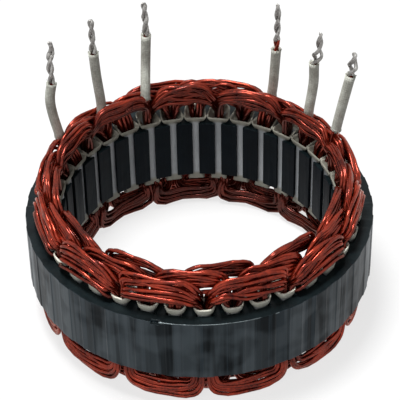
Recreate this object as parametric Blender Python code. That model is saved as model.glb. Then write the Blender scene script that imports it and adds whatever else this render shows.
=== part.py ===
"""Wound stator of a car alternator: slotted core, slot liners, three phase
windings with their lead ends, and the sleeves on the leads.

Metres, +Z up. The axis is Z and the lower winding loops rest on z = 0.
Slot 0 lies on +Y, and slot numbers and angles grow clockwise seen from above.
"""
import math

import bmesh
import bpy
from mathutils import Vector

# Core
CORE_RADIUS = 0.065
CORE_HEIGHT = 0.0254
YOKE_DEPTH = 0.0048
SLOT_DEPTH = 0.00955
TOOTH_WIDTH = 0.00425
SLOT_COUNT = 36
SLOT_MOUTH = 0.0025
TIP_EDGE = 0.0006
TIP_DEPTH = 0.0010
RIB_DEPTH = 0.0004
RIB_ANGLE = 4.8
RIB_FLANK_ANGLE = 0.4

# Clearance that every two pieces keep
GAP = 0.0003

# Slot liners
LINER_WALL = 0.0004
CUFF_START = 0.0018
CUFF_HEIGHT = 0.0025
CUFF_SPREAD = 0.0012
CUFF_OVERHANG = 0.0009

# Windings: wires leave a slot, gather into their layer and cross to the next slot
PHASES = ("u", "v", "w")
LAYER_GAP = 0.0007
LAYER_OVERHANG = 0.0017
BORE_CLEARANCE = 0.00045
WIRE_GROOVE = 0.0008
ROW_COUNT = {"u": 3, "v": 2, "w": 3}
EDGE_ROUNDING = 0.12
BACK_SHARE = 0.1
EXIT_RISE = 0.0001
TURN_RISE = 0.0010
CROTCH_RISE = 0.0026
TURN_ANGLE = 2.8
CROTCH_ANGLE = 0.3
ARCH_FOOT = 0.0056
ARCH_TOP = 0.0152
ARCH_STEP = 0.0012
ARCH_CROWN = 0.0014
ARCH_SHOULDER_ANGLE = 7.0
LOOP_FOOT = 0.0085
LOOP_DEPTH = 0.0150
LOOP_SHOULDER_ANGLE = 9.0

# Leads: a pair of strands, sleeved to start with, then bare and twisted
PAIR_RADIUS = 0.0012
PAIR_THICKNESS = 0.0015
TWIST_PITCH = 0.0100
SLEEVE_WALL = 0.0003
SLEEVE_SIDES = 8
SLEEVE_START = 0.0118
LEAD_ROOT_RISE = 0.0015

SLOT_BOTTOM_RADIUS = CORE_RADIUS - YOKE_DEPTH
BORE_RADIUS = SLOT_BOTTOM_RADIUS - SLOT_DEPTH
SHOULDER_RADIUS = BORE_RADIUS + TIP_DEPTH
SLOT_PITCH = 360 / SLOT_COUNT
CORE_BOTTOM = LOOP_DEPTH
CORE_TOP = CORE_BOTTOM + CORE_HEIGHT

LINER_INSET = GAP
COPPER_INSET = GAP + LINER_WALL + GAP
EXIT_HEIGHT = CUFF_HEIGHT + EXIT_RISE

LAYERS_INSIDE = BORE_RADIUS + BORE_CLEARANCE
LAYERS_OUTSIDE = SLOT_BOTTOM_RADIUS + LAYER_OVERHANG
LAYER_DEPTH = (LAYERS_OUTSIDE - LAYERS_INSIDE + LAYER_GAP) / len(PHASES) - LAYER_GAP

SLEEVE_BORE = (PAIR_RADIUS + GAP) / math.cos(math.pi / SLEEVE_SIDES)
SLEEVE_RADIUS = SLEEVE_BORE + SLEEVE_WALL

# Each lead: its phase, its slot, and how far it strays outwards, in degrees
# along the rim, and up from the core, at the points it is bent through
LEADS = {
    "u_start": ("u", -6, ((0.0019, -1.5, 0.0240), (0.0026, -1.5, 0.0300), (0.0016, 0.3, 0.0363)),
                ((0.0016, -0.4, 0.0465), (0.0016, 1.1, 0.0499), (0.0016, 0.6, 0.0547))),
    "v_start": ("v", -4, ((0.0005, 0.2, 0.0180), (0.0008, -0.9, 0.0300), (0.0008, -1.7, 0.0412)),
                ((0.0010, -1.8, 0.0490), (0.0011, -1.9, 0.0563))),
    "w_start": ("w", -2, ((0.0001, -0.3, 0.0165), (0.0044, 1.1, 0.0270), (0.0044, 1.5, 0.0407)),
                ((0.0044, 1.3, 0.0480), (0.0044, 1.0, 0.0558))),
    "u_end": ("u", 3, ((0.0002, 0.6, 0.0180), (0.0002, 1.1, 0.0260), (0.0002, 1.6, 0.0342)),
              ((0.0002, 2.0, 0.0450), (0.0002, 2.0, 0.0550))),
    "v_end": ("v", 5, ((0.0002, 0.3, 0.0170), (0.0020, 0.4, 0.0280), (0.0020, 0.4, 0.0373)),
              ((0.0022, 1.9, 0.0415), (0.0025, 3.0, 0.0522))),
    "w_end": ("w", 7, ((0.0000, 0.2, 0.0164), (0.0037, 0.8, 0.0260), (0.0074, 1.4, 0.0441)),
              ((0.0080, 1.6, 0.0490), (0.0086, 1.8, 0.0543))),
}


def remove_everything():
    for thing in list(bpy.data.objects):
        bpy.data.objects.remove(thing, do_unlink=True)


def make_material(name, colour, roughness, metallic):
    material = bpy.data.materials.new(name)
    material.use_nodes = True
    shader = material.node_tree.nodes["Principled BSDF"]
    shader.inputs["Base Color"].default_value = (*colour, 1)
    shader.inputs["Roughness"].default_value = roughness
    shader.inputs["Metallic"].default_value = metallic
    material.diffuse_color = (*colour, 1)
    return material


def rim_point(radius, degrees, z):
    """Point at a radius and a clockwise angle from +Y."""
    angle = math.radians(degrees)
    return Vector((radius * math.sin(angle), radius * math.cos(angle), z))


def slot_point(across, radius, degrees, z):
    """Point in a slot's own directions: across it, out from the axis, and up."""
    angle = math.radians(degrees)
    side = Vector((math.cos(angle), -math.sin(angle), 0))
    out = Vector((math.sin(angle), math.cos(angle), 0))
    return side * across + out * radius + Vector((0, 0, z))


def slot_half_width(radius, inset=0):
    """Half the width of a slot between parallel-sided teeth, less an inset."""
    half_pitch = math.radians(SLOT_PITCH / 2)
    return radius * math.tan(half_pitch) - (TOOTH_WIDTH / 2 + inset) / math.cos(half_pitch)


def ring(mesh, points):
    return [mesh.verts.new(point) for point in points]


def bridge(mesh, first, second):
    """Quads between two rings with the same number of points."""
    for i in range(len(first)):
        mesh.faces.new((first[i - 1], first[i], second[i], second[i - 1]))


def finish_object(mesh, name, material, parent, smooth_angle):
    """Makes the object of a closed bmesh, its faces turned outwards."""
    bmesh.ops.recalc_face_normals(mesh, faces=mesh.faces)
    data = bpy.data.meshes.new(name)
    mesh.to_mesh(data)
    mesh.free()
    data.materials.append(material)
    data.shade_smooth()
    data.set_sharp_from_angle(angle=math.radians(smooth_angle))
    return place_object(data, name, parent)


def place_object(data, name, parent):
    thing = bpy.data.objects.new(name, data)
    bpy.context.scene.collection.objects.link(thing)
    thing.parent = parent
    return thing


def slot_outline(degrees):
    """One slot of the bore's outline, from its left tip round to its right tip."""
    mouth = SLOT_MOUTH / 2
    bore = math.sqrt(BORE_RADIUS ** 2 - mouth ** 2)
    half = [
        (mouth, bore),
        (mouth, BORE_RADIUS + TIP_EDGE),
        (slot_half_width(SHOULDER_RADIUS), SHOULDER_RADIUS),
        (slot_half_width(SLOT_BOTTOM_RADIUS), SLOT_BOTTOM_RADIUS),
    ]
    left = [slot_point(-across, radius, degrees, CORE_BOTTOM) for across, radius in half]
    right = [slot_point(across, radius, degrees, CORE_BOTTOM) for across, radius in half]
    return left + right[::-1]


def rib_outline(degrees):
    """One raised rib of the rim, with the shallow groove floors beside it."""
    top = RIB_ANGLE / 2
    foot = top + RIB_FLANK_ANGLE
    floor = CORE_RADIUS - RIB_DEPTH
    return [
        rim_point(floor, degrees - foot, CORE_BOTTOM),
        rim_point(CORE_RADIUS, degrees - top, CORE_BOTTOM),
        rim_point(CORE_RADIUS, degrees + top, CORE_BOTTOM),
        rim_point(floor, degrees + foot, CORE_BOTTOM),
    ]


def loop_edges(mesh, points):
    verts = ring(mesh, points)
    return [mesh.edges.new((verts[i - 1], verts[i])) for i in range(len(verts))]


def make_core(material, parent):
    """The slotted lamination outline, filled and drawn up to the core's height."""
    mesh = bmesh.new()
    bore = []
    rim = []
    for slot in range(SLOT_COUNT):
        bore += slot_outline(slot * SLOT_PITCH)
        rim += rib_outline(slot * SLOT_PITCH)
    edges = loop_edges(mesh, bore) + loop_edges(mesh, rim)
    bmesh.ops.triangle_fill(mesh, edges=edges, use_beauty=True, use_dissolve=False)
    risen = bmesh.ops.extrude_face_region(mesh, geom=mesh.faces[:])
    verts = [item for item in risen["geom"] if isinstance(item, bmesh.types.BMVert)]
    bmesh.ops.translate(mesh, verts=verts, vec=(0, 0, CORE_HEIGHT))
    return finish_object(mesh, "core", material, parent, 20)


def liner_corners(inset, z):
    """The four corners of a liner's section, set in from the slot's walls."""
    near = SHOULDER_RADIUS + inset
    far = SLOT_BOTTOM_RADIUS - inset
    return [
        Vector((-slot_half_width(near, inset), near, z)),
        Vector((slot_half_width(near, inset), near, z)),
        Vector((slot_half_width(far, inset), far, z)),
        Vector((-slot_half_width(far, inset), far, z)),
    ]


def cuff_corners(wall, z):
    """The four corners of a cuff's open edge, folded out over the core's face."""
    near = SHOULDER_RADIUS + LINER_INSET - CUFF_OVERHANG + wall
    far = SLOT_BOTTOM_RADIUS - LINER_INSET + CUFF_OVERHANG - wall
    inner = slot_half_width(SHOULDER_RADIUS, LINER_INSET) + CUFF_SPREAD - wall
    outer = slot_half_width(SLOT_BOTTOM_RADIUS, LINER_INSET) + CUFF_SPREAD / 2 - wall
    return [
        Vector((-inner, near, z)),
        Vector((inner, near, z)),
        Vector((outer, far, z)),
        Vector((-outer, far, z)),
    ]


def make_liner_mesh(material, parent):
    """An insulating tube that fills a slot and flares into a cuff at both ends."""
    mesh = bmesh.new()
    low = CORE_BOTTOM - CUFF_START
    high = CORE_TOP + CUFF_START
    inner = LINER_INSET + LINER_WALL
    rings = [
        ring(mesh, cuff_corners(0, CORE_BOTTOM - CUFF_HEIGHT)),
        ring(mesh, liner_corners(LINER_INSET, low)),
        ring(mesh, liner_corners(LINER_INSET, high)),
        ring(mesh, cuff_corners(0, CORE_TOP + CUFF_HEIGHT)),
        ring(mesh, cuff_corners(LINER_WALL, CORE_TOP + CUFF_HEIGHT)),
        ring(mesh, liner_corners(inner, high)),
        ring(mesh, liner_corners(inner, low)),
        ring(mesh, cuff_corners(LINER_WALL, CORE_BOTTOM - CUFF_HEIGHT)),
    ]
    for i in range(len(rings)):
        bridge(mesh, rings[i - 1], rings[i])
    return finish_object(mesh, "slot_liner_01", material, parent, 30)


def make_liners(material, parent):
    first = make_liner_mesh(material, parent)
    for slot in range(1, SLOT_COUNT):
        liner = place_object(first.data, f"slot_liner_{slot + 1:02}", parent)
        liner.rotation_euler.z = -math.radians(slot * SLOT_PITCH)


def layer_radii(phase):
    """Inner and outer radius of a phase's layer: u outermost, w innermost."""
    outside = LAYERS_OUTSIDE - PHASES.index(phase) * (LAYER_DEPTH + LAYER_GAP)
    return outside - LAYER_DEPTH, outside


def phase_offset(phase):
    """Slots from slot 0 to the phase's first slot."""
    return -PHASES.index(phase)


def bundle_section(phase):
    """A bundle's section, as (on the shown side, share of its breadth, grooved) points.

    The side that shows, outward on u and v and towards the bore on w, has one
    ridge for each row of wires; the back is plain.
    """
    steps = 2 * (ROW_COUNT[phase] - 1)
    shown = [(True, step / steps, step % 2) for step in range(steps + 1)]
    return shown + [(False, 1, 0), (False, 0, 0)]


def front_and_back(phase, inside, outside, back_share=0):
    """Radii of the shown side and of the back, and of a groove in the shown side."""
    front, back = (inside, outside) if phase == "w" else (outside, inside)
    inward = math.copysign(1, back - front)
    return front, back + (front - back) * back_share, front + inward * WIRE_GROOVE


def exit_half(phase, slot, side, z):
    """Half of the bundle's section where it leaves a slot, to one side of it.

    Its breadth runs from the slot's wall to the slot's middle.
    """
    near = SHOULDER_RADIUS + COPPER_INSET
    far = SLOT_BOTTOM_RADIUS - COPPER_INSET
    front, back, groove = front_and_back(phase, near, far)
    points = []
    for shown, breadth, grooved in bundle_section(phase):
        radius = (groove if grooved else front) if shown else back
        across = side * (1 - breadth) * slot_half_width(radius, COPPER_INSET)
        points.append(slot_point(across, radius, slot * SLOT_PITCH, z))
    return points


def layer_section(phase, slot, side, foot, top):
    """The bundle's section in its layer, from its foot to its top.

    Foot and top are (degrees from the slot, height) pairs.
    """
    front, back, groove = front_and_back(phase, *layer_radii(phase), BACK_SHARE)
    points = []
    for shown, breadth, grooved in bundle_section(phase):
        radius = (groove if grooved else front) if shown else back
        share = EDGE_ROUNDING + (1 - 2 * EDGE_ROUNDING) * breadth if shown else breadth
        degrees = foot[0] + (top[0] - foot[0]) * share
        z = foot[1] + (top[1] - foot[1]) * share
        points.append(rim_point(radius, slot * SLOT_PITCH + side * degrees, z))
    return points


def crossing_sections(phase, end):
    """Foot and top of each section from a slot to the middle of the crossing."""
    turn = EXIT_HEIGHT + TURN_RISE
    crotch = EXIT_HEIGHT + CROTCH_RISE
    middle = SLOT_PITCH * len(PHASES) / 2
    if end == "top":
        top = ARCH_TOP + PHASES.index(phase) * ARCH_STEP
        shoulders = [
            ((ARCH_SHOULDER_ANGLE, ARCH_FOOT), (ARCH_SHOULDER_ANGLE, top - ARCH_CROWN)),
            ((middle, ARCH_FOOT), (middle, top)),
        ]
        height = CORE_TOP
        way = 1
    else:
        shoulders = [((LOOP_SHOULDER_ANGLE, LOOP_FOOT), (LOOP_SHOULDER_ANGLE, LOOP_DEPTH))]
        height = CORE_BOTTOM
        way = -1
    sections = [((TURN_ANGLE, turn), (CROTCH_ANGLE, crotch))] + shoulders
    return [tuple((degrees, height + way * rise) for degrees, rise in section)
            for section in sections]


def add_leg(mesh, phase, slot):
    """The bundle through one slot. Gives each end's left and right half rings.

    The halves share the two points on the slot's middle line.
    """
    rows = ROW_COUNT[phase] * 2 - 1
    ends = {}
    for end, z in (("bottom", CORE_BOTTOM - EXIT_HEIGHT), ("top", CORE_TOP + EXIT_HEIGHT)):
        left = ring(mesh, exit_half(phase, slot, -1, z))
        right_points = exit_half(phase, slot, 1, z)
        middle = (rows - 1, rows)
        right = [left[i] if i in middle else mesh.verts.new(point)
                 for i, point in enumerate(right_points)]
        outline = left[rows:] + left[:rows] + right[:rows - 1][::-1] + [right[-1]]
        ends[end] = (left, right, outline)
    bridge(mesh, ends["bottom"][2], ends["top"][2])
    return ends


def add_crossing(mesh, phase, slot, end, from_half, to_half):
    """The bundle from one slot's right half to the next phase slot's left half."""
    next_slot = slot + len(PHASES)
    sections = crossing_sections(phase, end)
    crowned = end == "top"
    rings = [from_half]
    rings += [ring(mesh, layer_section(phase, slot, 1, *each)) for each in sections]
    back = sections[::-1][1:] if crowned else sections[::-1]
    rings += [ring(mesh, layer_section(phase, next_slot, -1, *each)) for each in back]
    rings.append(to_half)
    for first, second in zip(rings, rings[1:]):
        bridge(mesh, first, second)


def make_winding(phase, material, parent):
    """A whole phase: twelve slot legs joined by crossings at both ends."""
    mesh = bmesh.new()
    slots = range(phase_offset(phase), phase_offset(phase) + SLOT_COUNT, len(PHASES))
    legs = [add_leg(mesh, phase, slot) for slot in slots]
    for i, slot in enumerate(slots):
        following = legs[(i + 1) % len(legs)]
        for end in ("bottom", "top"):
            add_crossing(mesh, phase, slot, end, legs[i][end][1], following[end][0])
    return finish_object(mesh, f"phase_{phase}_winding", material, parent, 25)


def smooth_route(points, steps):
    """Catmull-Rom curve through the points, with so many steps to each span."""
    padded = [2 * points[0] - points[1], *points, 2 * points[-1] - points[-2]]
    route = [points[0]]
    for before, start, end, after in zip(padded, padded[1:], padded[2:], padded[3:]):
        for step in range(1, steps + 1):
            t = step / steps
            bend = (2 * before - 5 * start + 4 * end - after) * t ** 2
            bend += (3 * start - before - 3 * end + after) * t ** 3
            route.append((2 * start + (end - before) * t + bend) / 2)
    return route


def lead_points(phase, slot, offsets):
    """Places of a lead's bends, told from its layer, its slot and the core's top."""
    inside, outside = layer_radii(phase)
    middle = (inside + outside) / 2
    return [rim_point(middle + out, slot * SLOT_PITCH + along, CORE_TOP + rise)
            for out, along, rise in offsets]


def lead_root(phase, slot):
    """Where the lead starts, inside the bundle of its slot, and its way up."""
    inside, outside = layer_radii(phase)
    copper_middle = (SHOULDER_RADIUS + SLOT_BOTTOM_RADIUS) / 2
    half_way = ((inside + outside) / 2 + copper_middle) / 2
    degrees = slot * SLOT_PITCH
    return [
        rim_point(half_way, degrees, CORE_TOP + LEAD_ROOT_RISE),
        rim_point((inside + outside) / 2, degrees, CORE_TOP + EXIT_HEIGHT + CROTCH_RISE),
    ]


def cross_frame(route, i, slot):
    """Two directions square to the route, the first as near outward as can be."""
    along = (route[min(i + 1, len(route) - 1)] - route[max(i - 1, 0)]).normalized()
    out = rim_point(1, slot * SLOT_PITCH, 0)
    side = along.cross(out).normalized()
    return side.cross(along), side


def pair_outline(centre, out, side, turn):
    """The flat six-sided section of two strands lying side by side."""
    points = []
    for step in range(6):
        angle = math.radians(60 * step)
        wide = PAIR_RADIUS * math.cos(angle)
        thick = PAIR_THICKNESS / 2 * math.sin(angle) / math.sin(math.radians(60))
        across = wide * math.cos(turn) - thick * math.sin(turn)
        up = wide * math.sin(turn) + thick * math.cos(turn)
        points.append(centre + out * across + side * up)
    return points


def sleeved_route(phase, slot, bends):
    start = lead_points(phase, slot, [(0, 0, SLEEVE_START)])
    return smooth_route(start + lead_points(phase, slot, bends), 1)


def make_lead(name, material, parent):
    """The strands of one lead, plain up to the sleeve's end and twisted beyond."""
    phase, slot, sleeved, bare = LEADS[name]
    covered = sleeved_route(phase, slot, sleeved)
    open_end = smooth_route([covered[-1]] + lead_points(phase, slot, bare), 4)[1:]
    route = lead_root(phase, slot) + covered + open_end
    mesh = bmesh.new()
    rings = []
    turn = 0
    for i, centre in enumerate(route):
        if i >= len(route) - len(open_end):
            turn += 2 * math.pi * (centre - route[i - 1]).length / TWIST_PITCH
        rings.append(ring(mesh, pair_outline(centre, *cross_frame(route, i, slot), turn)))
    for first, second in zip(rings, rings[1:]):
        bridge(mesh, first, second)
    mesh.faces.new(rings[0])
    mesh.faces.new(rings[-1])
    return finish_object(mesh, f"lead_{name}", material, parent, 50)


def make_sleeve(name, material, parent):
    """The open tube pushed over a lead."""
    phase, slot, sleeved, bare = LEADS[name]
    route = sleeved_route(phase, slot, sleeved)
    after = lead_points(phase, slot, bare)[0]
    framed = route + [after]
    mesh = bmesh.new()
    rings = []
    for radius, order in ((SLEEVE_RADIUS, 1), (SLEEVE_BORE, -1)):
        for i in range(len(route))[::order]:
            out, side = cross_frame(framed, i, slot)
            points = [route[i] + out * radius * math.cos(angle) + side * radius * math.sin(angle)
                      for angle in sleeve_angles()]
            rings.append(ring(mesh, points))
    for i in range(len(rings)):
        bridge(mesh, rings[i - 1], rings[i])
    return finish_object(mesh, f"sleeve_{name}", material, parent, 50)


def sleeve_angles():
    return [2 * math.pi * step / SLEEVE_SIDES for step in range(SLEEVE_SIDES)]


def join_lead(winding, lead):
    """Makes the lead one piece with its winding; the lead's own object is a guide."""
    joint = winding.modifiers.new(lead.name, "BOOLEAN")
    joint.operation = "UNION"
    joint.object = lead
    lead.hide_render = True
    lead.hide_viewport = True
    lead.display_type = "WIRE"


def main():
    remove_everything()
    stator = bpy.data.objects.new("stator", None)
    bpy.context.scene.collection.objects.link(stator)

    steel = make_material("coated_steel", (0.026, 0.036, 0.046), 0.45, 0.6)
    liner_sheet = make_material("liner_sheet", (0.55, 0.58, 0.47), 0.7, 0.0)
    copper = make_material("enamelled_copper", (0.33, 0.045, 0.02), 0.3, 0.9)
    braid = make_material("sleeve_braid", (0.40, 0.40, 0.35), 0.8, 0.0)

    make_core(steel, stator)
    make_liners(liner_sheet, stator)
    windings = {phase: make_winding(phase, copper, stator) for phase in PHASES}
    for name, (phase, *route) in LEADS.items():
        join_lead(windings[phase], make_lead(name, copper, stator))
        make_sleeve(name, braid, stator)


main()
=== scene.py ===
"""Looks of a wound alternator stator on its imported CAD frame.

Metres, +Z up. Slot 0 lies on +Y, and slot numbers and angles grow clockwise
seen from above. Heights of wires are in millimetres from the core's nearer end
face. Within a bundle, a wire's share is 0 nearest the core and 1 furthest from it.
"""
import math
import random
from collections import namedtuple

import bmesh
import bpy
from mathutils import Euler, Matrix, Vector

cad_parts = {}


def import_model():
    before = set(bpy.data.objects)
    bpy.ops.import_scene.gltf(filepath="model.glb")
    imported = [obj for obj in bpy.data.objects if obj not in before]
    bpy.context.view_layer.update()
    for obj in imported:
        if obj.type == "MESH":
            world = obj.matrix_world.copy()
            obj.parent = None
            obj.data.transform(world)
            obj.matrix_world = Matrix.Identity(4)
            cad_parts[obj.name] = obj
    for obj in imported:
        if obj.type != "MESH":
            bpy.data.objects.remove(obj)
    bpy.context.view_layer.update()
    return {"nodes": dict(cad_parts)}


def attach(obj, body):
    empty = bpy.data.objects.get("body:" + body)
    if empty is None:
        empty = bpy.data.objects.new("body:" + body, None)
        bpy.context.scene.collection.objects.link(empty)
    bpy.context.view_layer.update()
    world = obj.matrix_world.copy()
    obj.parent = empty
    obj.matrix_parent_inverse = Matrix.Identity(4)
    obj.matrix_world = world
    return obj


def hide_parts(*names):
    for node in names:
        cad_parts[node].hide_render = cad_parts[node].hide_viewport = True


MM = 0.001

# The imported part's sizes
CORE_RADIUS = 0.065
CORE_BOTTOM = 0.015
CORE_TOP = 0.0404
CORE_MIDDLE = (CORE_TOP + CORE_BOTTOM) / 2
SHOULDER_RADIUS = 0.05165
SLOT_BOTTOM_RADIUS = 0.0602
TOOTH_WIDTH = 0.00425
SLOT_COUNT = 36
SLOT_PITCH = 360 / SLOT_COUNT
GAP = 0.0003

# The phases, the radius of each one's layer, and the degrees that a wire crosses
PHASES = ("u", "v", "w")
LAYER_RADIUS = {"u": 0.06033, "v": 0.05650, "w": 0.05267}
CROSSING = SLOT_PITCH * len(PHASES)

# Wires that cross from a slot to the next of their phase
WIRE_RADIUS = 0.00071
WIRE_COUNT = {"u": 8, "v": 12, "w": 10}
WINDING_SEED = 40
# The height inside its slot at which a wire starts, and the slot's two columns of
# wires: degrees off its middle and millimetres out of their layer
WIRE_START = -2.5
COLUMN_DEGREES = (0.75, 1.35)
COLUMN_OUT = (-0.6, 0.5)
# Radius of the wires beside the bore, and how far back in the slot the others lie
FRONT_WIRE = 0.0530
STACK_DEPTH = 0.0053
# In a slot, the radius of the wires next to their phase's layer, and how far off
# that the last ones lie
LAYER_SIDE = {"u": FRONT_WIRE + STACK_DEPTH, "v": 0.0557, "w": FRONT_WIRE}
FAR_SIDE = {"u": -STACK_DEPTH, "v": 0.0027, "w": STACK_DEPTH}

# Arches over the core: heights of their furthest and nearest wires, and how much
# closer to the axis the furthest one lies
ARCH_TOP = {"u": 14.5, "v": 15.8, "w": 16.9}
ARCH_FOOT = {"u": 5.5, "v": 7.0, "w": 9.2}
ARCH_LEAN = {"u": 1.7, "v": 1.0, "w": 0.2}
# Arches at the back that stand higher or lower, by phase and first slot
ARCH_LIFT = {("u", 33): 1.3, ("u", 0): 1.2, ("u", 3): -1.6, ("v", 32): 1.0, ("v", -1): 1.8,
             ("w", -2): 0.5, ("w", 1): 0.5}
# Outer arches that turn down at once into a slot, and inner ones in front, all by
# their first slot
SHARP_STARTS = (15,)
SHARP_ENDS = (18, 33)
FRONT_INNER = (13, 16, 19)
# How straight an arch's end rises, from about 0 to 1, from where that counts as
# straight and as upright, and how far an upright end is shifted and lifted
SHARP_TURN = 1.1
UPRIGHT_TURN = 1
FRONT_TURN = 0.9
SLACK_TURN = -0.2
STRAIGHT_FROM = 0.5
UPRIGHT_FROM = 0.95
UPRIGHT_SHIFT = 0.7
UPRIGHT_LIFT = 1.6
# How far a wire's shoulder swerves up or down, and how much more an inner one does
SWERVE = 0.6
INNER_SWERVE = 1.4
# Arches that leave their slots in their own way, by phase and by whether they rise
# straight: the nearest wire's radius, how far off the furthest one lies, and the
# share of the way to their layer that wires soon have gone; the others' is less
ARCH_EXITS = {("u", True): (0.0562, 0.0020, 0.65), ("w", True): (0.0530, 0.0027, 0.4),
              ("w", False): (0.0556, 0.0027, 0.4)}
PLAIN_OUTWARD = 0.25
# Millimetres that inner arches stand outwards, by whether they rise straight
INNER_ARCH_OUT = {True: -0.3, False: 1.1}

# Loops under the core: depth of their furthest wires, the nearest ones' share of it,
# how much closer to the axis than their layer they lie, and the depth none passes
LOOP_DEPTH = {"u": 13.9, "v": 13.7, "w": 13.7}
LOOP_HIGH = {"u": 0.55, "v": 0.52, "w": 0.60}
LOOP_LEAN = {"u": -0.2, "v": 0.4, "w": 0.5}
DEEPEST = {"u": 13.65, "v": 13.5, "w": 12.65}
# Millimetres that inner loops lie outwards at their first and last slot, and how
# loosely all loops are wound compared with the arches
INNER_LOOP_OUT = (-0.6, 0.6)
LOOP_LOOSENESS = 0.45

# The share of outer arches that have a stray wire, close to the core
STRAY_SHARE = 0.35

# The folded sheet, its corners beside the bore and at the back, and the length from
# which an edge of its outline gets more points
SHEET_THICKNESS = 0.00055
FRONT_CORNER = 0.0008
BACK_CORNER = 0.0023
WIDE_EDGE = 0.0030
# Its cuffs: their height and the shares of it that have points, how far they spread
# sideways and lean outwards beside the bore and at the back, how soon they do so, and
# how much of it the lower ones do
CUFF_HEIGHT = 0.0029
CUFF_STEPS = (1, 0.75, 0.5, 0.25, 0)
CUFF_SPREAD = (0.0026, 0.0009)
CUFF_LEAN = (-0.0004, 0.0008)
CUFF_CURVE = 0.35
CUFF_MIDDLE = 0.0013
LOWER_CUFF = 0.45
# How far the upper cuffs' edges dip over the slot's mouth, and how wide and how far
# back the dip is
CUFF_DIP = 0.0016
DIP_HALF_WIDTH = 0.0022
DIP_BACK = 0.2

# The core's ribs under thick varnish: the share of them left, the depth of the rim
# that holds them, and how widely the core's edges are eased
RIB_SHARE = 0.6
RIM_DEPTH = 0.001
EDGE_EASE = 0.0002
# The strip's end and length in degrees, with its notch, its free edge and its weld
STRIP_END = 195.5
STRIP_LENGTH = 38
NOTCH_SIZE = (0.0034, 0.0030, 0.0028)
STRIP_EDGE_RADIUS = 0.00016
STRIP_EDGE_AHEAD = 1.4
STRIP_INSET = 0.00025
STRIP_RISE = 0.0001
STRIP_SINK = 0.00035
WELD_RADIUS = 0.0007
WELD_SHAPE = (1.3, 0.7, 0.6)
WELD_AHEAD = 1.7
WELD_INSET = 0.0005
WELD_SINK = 0.0001

# Sleeves and leads. Places on a lead are told in metres outwards from its layer,
# degrees along the rim from its slot, and metres up from the core
SLEEVE_RADIUS = 0.00192
SLEEVE_WALL = 0.00045
SLEEVE_MOUTHS = (1.12, 1.07)
FIBRE_RADIUS = 0.00009
FIBRE_COUNT = 12
FIBRE_LENGTH = (0.0005, 0.0013)
SLEEVE_START = (0, 0, 0.0118)
MOVED_SLEEVES = {"w_start": (0.0005, -1.3, 0.0142), "w_end": (0.0028, 0.4, 0.0198)}
LEAD_ROOT = (0, 0, 0.0050)
LEAD_SEED = 60
STRAND_RADIUS = 0.00066
SLEEVED_TWIST = 0.030
BARE_TWIST = 0.012
TIP_TAPER = 0.45
TIP_CUT = 0.0003
# Where the two bare strands part, by how much and how gently, and how many points
# above a sleeve stay enamelled
LEAD_EYES = {"v_end": 0.45, "w_end": 0.35}
EYE_OPENING = 0.0009
EYE_LENGTH = 0.12
ENAMEL_ABOVE = {"u_end": 2}
# Each lead: its phase, its slot, its bends inside the sleeve and those above it
LEADS = {
    "u_start": ("u", -6, ((0.0018, -1.0, 0.0230), (0.0022, -1.2, 0.0300), (0.0016, -0.2, 0.0363)),
                ((0.0016, -0.4, 0.0465), (0.0016, 1.1, 0.0499), (0.0016, 0.6, 0.0547))),
    "v_start": ("v", -4, ((0.0005, 0.2, 0.0180), (0.0008, -0.9, 0.0300), (0.0008, -1.7, 0.0412)),
                ((0.0010, -1.8, 0.0490), (0.0011, -1.9, 0.0563))),
    "w_start": ("w", -2, ((0.0012, -0.8, 0.0190), (0.0040, 0.7, 0.0280), (0.0044, 1.5, 0.0407)),
                ((0.0044, 1.3, 0.0480), (0.0044, 1.0, 0.0558))),
    "u_end": ("u", 3, ((0.0002, 0.6, 0.0180), (0.0002, 1.1, 0.0260), (0.0002, 1.6, 0.0342)),
              ((0.0002, 2.0, 0.0450), (0.0002, 2.0, 0.0550))),
    "v_end": ("v", 5, ((0.0002, 0.3, 0.0170), (0.0020, 0.4, 0.0280), (0.0020, 0.4, 0.0373)),
              ((0.0022, 1.9, 0.0415), (0.0025, 3.0, 0.0522))),
    "w_end": ("w", 7, ((0.0034, 0.6, 0.0235), (0.0048, 0.9, 0.0310), (0.0074, 1.4, 0.0441)),
              ((0.0080, 1.6, 0.0490), (0.0086, 1.8, 0.0543))),
}

# Where the finishes and the painted shade change: distances from the axis, heights, and
# distances above or below the core's middle. The wires get painted shade near the core,
# with varnish, and beside the bore, less higher up; the sheet gets a shaded grey in the slots
BORE_EDGE = (0.0512, 0.0518)
INNER_PAINTED_SHADE = (0.0530, 0.0575)
CUFF_STAIN = (0.0585, 0.0560)
PAINTED_SHADE_HEIGHT = (0.0460, 0.0575)
ROOT_VARNISH_AND_SHADE = (0.0145, 0.0215)
SLOT_GREY = (0.0118, 0.0136)

# The studio: the floor's grey, the world's light on the object, and each lamp's
# place, size and power
FLOOR_GREY = 0.26
WORLD_LIGHT = 0.125
LAMP_AIM = (0, 0, 0.03)
LAMPS = {"key": ((-0.2, 0.1, 1.3), 0.40, 18.5), "fill": ((-0.5, -0.9, 0.8), 0.9, 3.0)}

# The photograph's camera, fitted to the core's edges, with its angles in degrees
PICTURE_PIXELS = 400
FOCAL_PIXELS = 1823.78
SENSOR_WIDTH = 36
CAMERA_DISTANCE = 0.69083
CAMERA_ELEVATION = 40.654
CAMERA_AZIMUTH = -0.9715
CAMERA_TILT = 0.991
CAMERA_PAN = -0.0262
CAMERA_ROLL = -1.198

Crossing = namedtuple("Crossing", "phase slot end reach nearest hump turns")


def lerp(start, end, share):
    return start + (end - start) * share


def within(share):
    """A share kept between 0 and 1."""
    return min(max(share, 0), 1)


def rim_point(radius, degrees, z):
    """Point at a radius and a clockwise angle from +Y."""
    angle = math.radians(degrees)
    return Vector((radius * math.sin(angle), radius * math.cos(angle), z))


def turned(x=0, y=0, z=0):
    """A turn by degrees about the three axes."""
    return Euler((math.radians(x), math.radians(y), math.radians(z))).to_matrix()


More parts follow.
